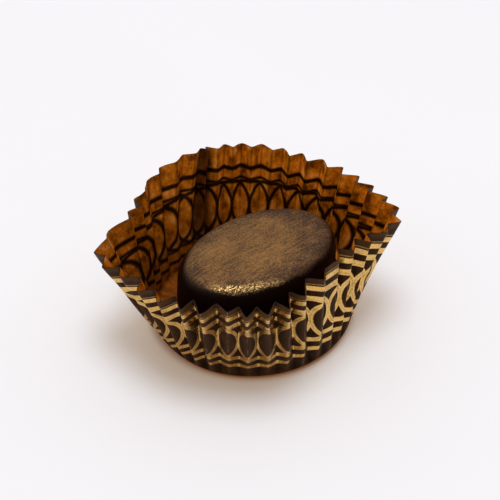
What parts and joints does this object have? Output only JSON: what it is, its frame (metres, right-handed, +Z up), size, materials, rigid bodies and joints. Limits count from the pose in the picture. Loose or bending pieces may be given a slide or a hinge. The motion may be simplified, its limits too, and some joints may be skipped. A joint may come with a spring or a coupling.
{
  "type": "chocolate truffle",
  "caption": "Oval moulded dark chocolate with gold dust on its domed top, standing in a pinched, fluted paper case with a gold loop pattern.",
  "frame": {"origin": "centre of the footprint of the whole, on the surface that the case stands on", "axes": "+Z up; +X along the case's mouth from its left to its right pinched corner; -Y is the near side"},
  "size_m": [0.0524, 0.0484, 0.0196],
  "materials": {
    "printed_paper": "dark brown glassine outside with a satin gold print, amber inside where the print shows through dark",
    "dark_chocolate": "dark chocolate with gold lustre dust brushed over the top"
  },
  "bodies": {
    "root": {"paper_case": "printed_paper", "praline": "dark_chocolate"}
  },
  "joints": []
}
